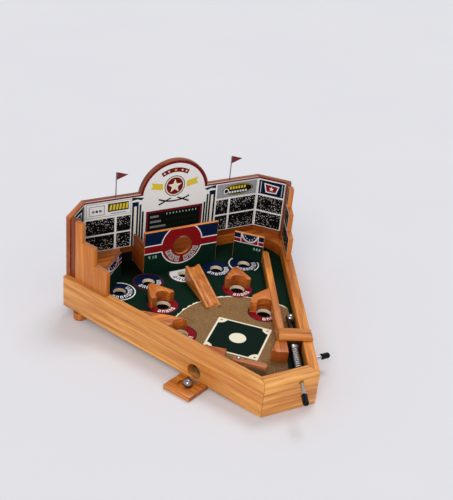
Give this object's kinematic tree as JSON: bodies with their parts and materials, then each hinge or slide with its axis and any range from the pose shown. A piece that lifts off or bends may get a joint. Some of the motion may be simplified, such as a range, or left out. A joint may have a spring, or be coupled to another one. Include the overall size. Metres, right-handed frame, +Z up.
{
  "type": "tabletop pinball game",
  "caption": "Fan-shaped wooden tabletop ball game with a stepped backdrop, spring plunger, swinging bat, scoring holes, ramp and ball tray.",
  "frame": {"origin": "On the table under the middle of the whole game's box.", "axes": "+X to the player's right, +Y from the player to the backdrop, +Z up."},
  "size_m": [0.368, 0.4024, 0.2024],
  "materials": {
    "oak": "honey-stained and varnished, open grain",
    "dark_oak": "reddish stained end grain",
    "printed_board": "printed sheet glued on thin board",
    "green_board": "printed dark green, satin",
    "bare_board": "bare hardboard",
    "chrome": "polished",
    "black_cap": "glossy dipped vinyl",
    "pennant_red": "matt red sheet"
  },
  "bodies": {
    "root": {"front_rail": "oak", "left_side_rail": "oak", "right_side_rail": "oak", "main_backboard": "printed_board", "left_back_panel": "printed_board", "right_back_panel": "printed_board", "left_corner_post": "dark_oak", "right_corner_post": "dark_oak", "left_stepped_panel": "oak", "right_stepped_panel": "oak", "playfield_board": "green_board", "bottom_board": "bare_board", "return_guide_strip": "bare_board", "left_field_hood": "oak", "right_field_hood": "oak", "right_infield_hood": "oak", "left_infield_hood": "oak", "ramp": "oak", "center_fence_panel": "green_board", "left_fence_side_board": "oak", "right_fence_side_board": "oak", "left_field_panel": "green_board", "right_field_panel": "green_board", "left_corner_block": "oak", "right_guide_block": "oak", "lane_divider": "oak", "divider_end_block": "oak", "lane_bridge": "oak", "plunger_guide": "dark_oak", "bat_wedge": "oak", "bat_rod_guide": "dark_oak", "ball_tray": "oak", "left_rear_foot": "oak", "right_rear_foot": "oak", "left_pennant_pole": "chrome", "left_pennant": "pennant_red", "right_pennant_pole": "chrome", "right_pennant": "pennant_red", "plunger_spring": "chrome", "bat_return_spring": "chrome"},
    "plunger": {"plunger_rod": "chrome", "plunger_flange": "chrome", "plunger_cap": "black_cap"},
    "bat": {"bat": "oak", "bat_shaft": "chrome", "bat_screw": "chrome"},
    "bat_rod": {"bat_rod": "chrome", "bat_rod_cap": "black_cap"},
    "lane_ball": {"lane_ball": "chrome"},
    "tray_ball": {"tray_ball": "chrome"}
  },
  "joints": [
    {"name": "plunger_pull", "type": "slide", "parent": "root", "child": "plunger", "axis": [-0.41, -0.9113, -0.0381], "range_m": [0, 0.03], "stiffness_N_per_m": 60, "springref_m": -0.01, "deforming": ["plunger_spring"]},
    {"name": "bat_rod_pull", "type": "slide", "parent": "root", "child": "bat_rod", "axis": [1, 0, 0], "range_m": [0, 0.01266], "stiffness_N_per_m": 60, "springref_m": -0.008, "deforming": ["bat_return_spring"]},
    {"name": "bat_swing", "type": "hinge", "parent": "root", "child": "bat", "pos_m": [-0.0385, -0.09221, 0.04257], "axis": [0, -0.0418, 0.9991], "range_deg": [0, 80]},
    {"name": "lane_ball_roll", "type": "slide", "parent": "root", "child": "lane_ball", "axis": [0.41, 0.9113, 0.0381], "range_m": [0, 0.15]},
    {"name": "tray_ball_lift", "type": "slide", "parent": "root", "child": "tray_ball", "axis": [0, 0, 1], "range_m": [0, 0.06]}
  ],
  "couplings": [
    {"joint": "bat_swing", "follows": "bat_rod_pull", "rad_per_m": 110.29}
  ]
}
